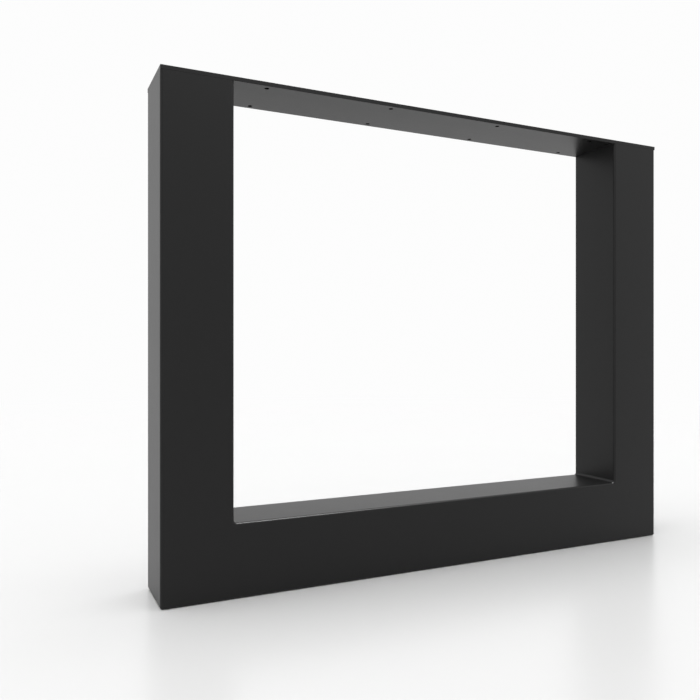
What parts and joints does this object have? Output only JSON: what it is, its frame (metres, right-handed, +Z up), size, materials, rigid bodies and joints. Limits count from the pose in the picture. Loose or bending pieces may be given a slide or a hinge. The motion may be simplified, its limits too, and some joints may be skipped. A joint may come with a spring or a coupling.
{
  "type": "table leg",
  "caption": "Wide U-shaped table leg of welded steel box section with a flat floor rail, closed across the top by a thin drilled plate that screws to the table top.",
  "frame": {"origin": "on the floor, at the middle of the floor rail's footprint", "axes": "+X along the width towards the right upright, +Y from the front face to the back face, +Z up towards the table top"},
  "size_m": [0.9, 0.1, 0.72],
  "materials": {
    "powder_coat": "satin black powder coat on steel"
  },
  "bodies": {
    "root": {"left_upright": "powder_coat", "right_upright": "powder_coat", "floor_rail": "powder_coat", "left_corner_weld": "powder_coat", "right_corner_weld": "powder_coat", "top_plate": "powder_coat"}
  },
  "joints": []
}
